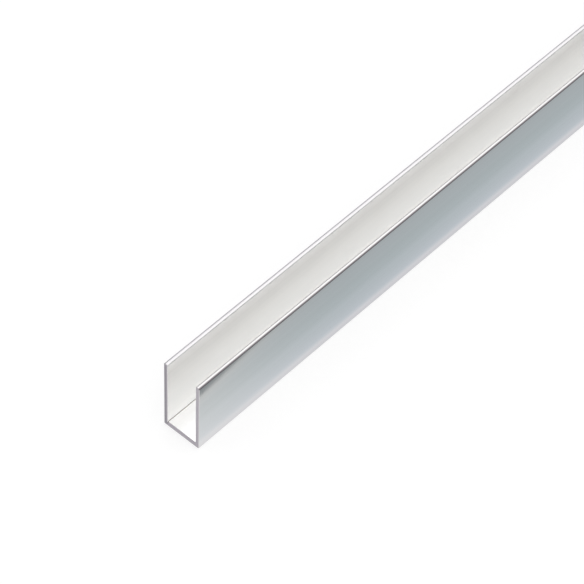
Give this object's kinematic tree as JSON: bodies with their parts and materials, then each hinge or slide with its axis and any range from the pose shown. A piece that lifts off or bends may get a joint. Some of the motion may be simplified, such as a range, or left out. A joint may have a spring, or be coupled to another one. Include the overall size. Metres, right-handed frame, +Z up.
{
  "type": "aluminium channel section",
  "caption": "Straight U-shaped aluminium channel, narrow web with two tall equal flanges and an open slot, for capping or holding a panel edge.",
  "frame": {"origin": "underside of the web, midway along the length and midway between the flanges", "axes": "+X across the web from one flange to the other, +Y along the length, +Z up the flanges to the open side"},
  "size_m": [0.01, 1, 0.02],
  "materials": {
    "anodised_aluminium": "silver satin anodised, with faint die lines along the length"
  },
  "bodies": {
    "root": {"channel": "anodised_aluminium"}
  },
  "joints": []
}
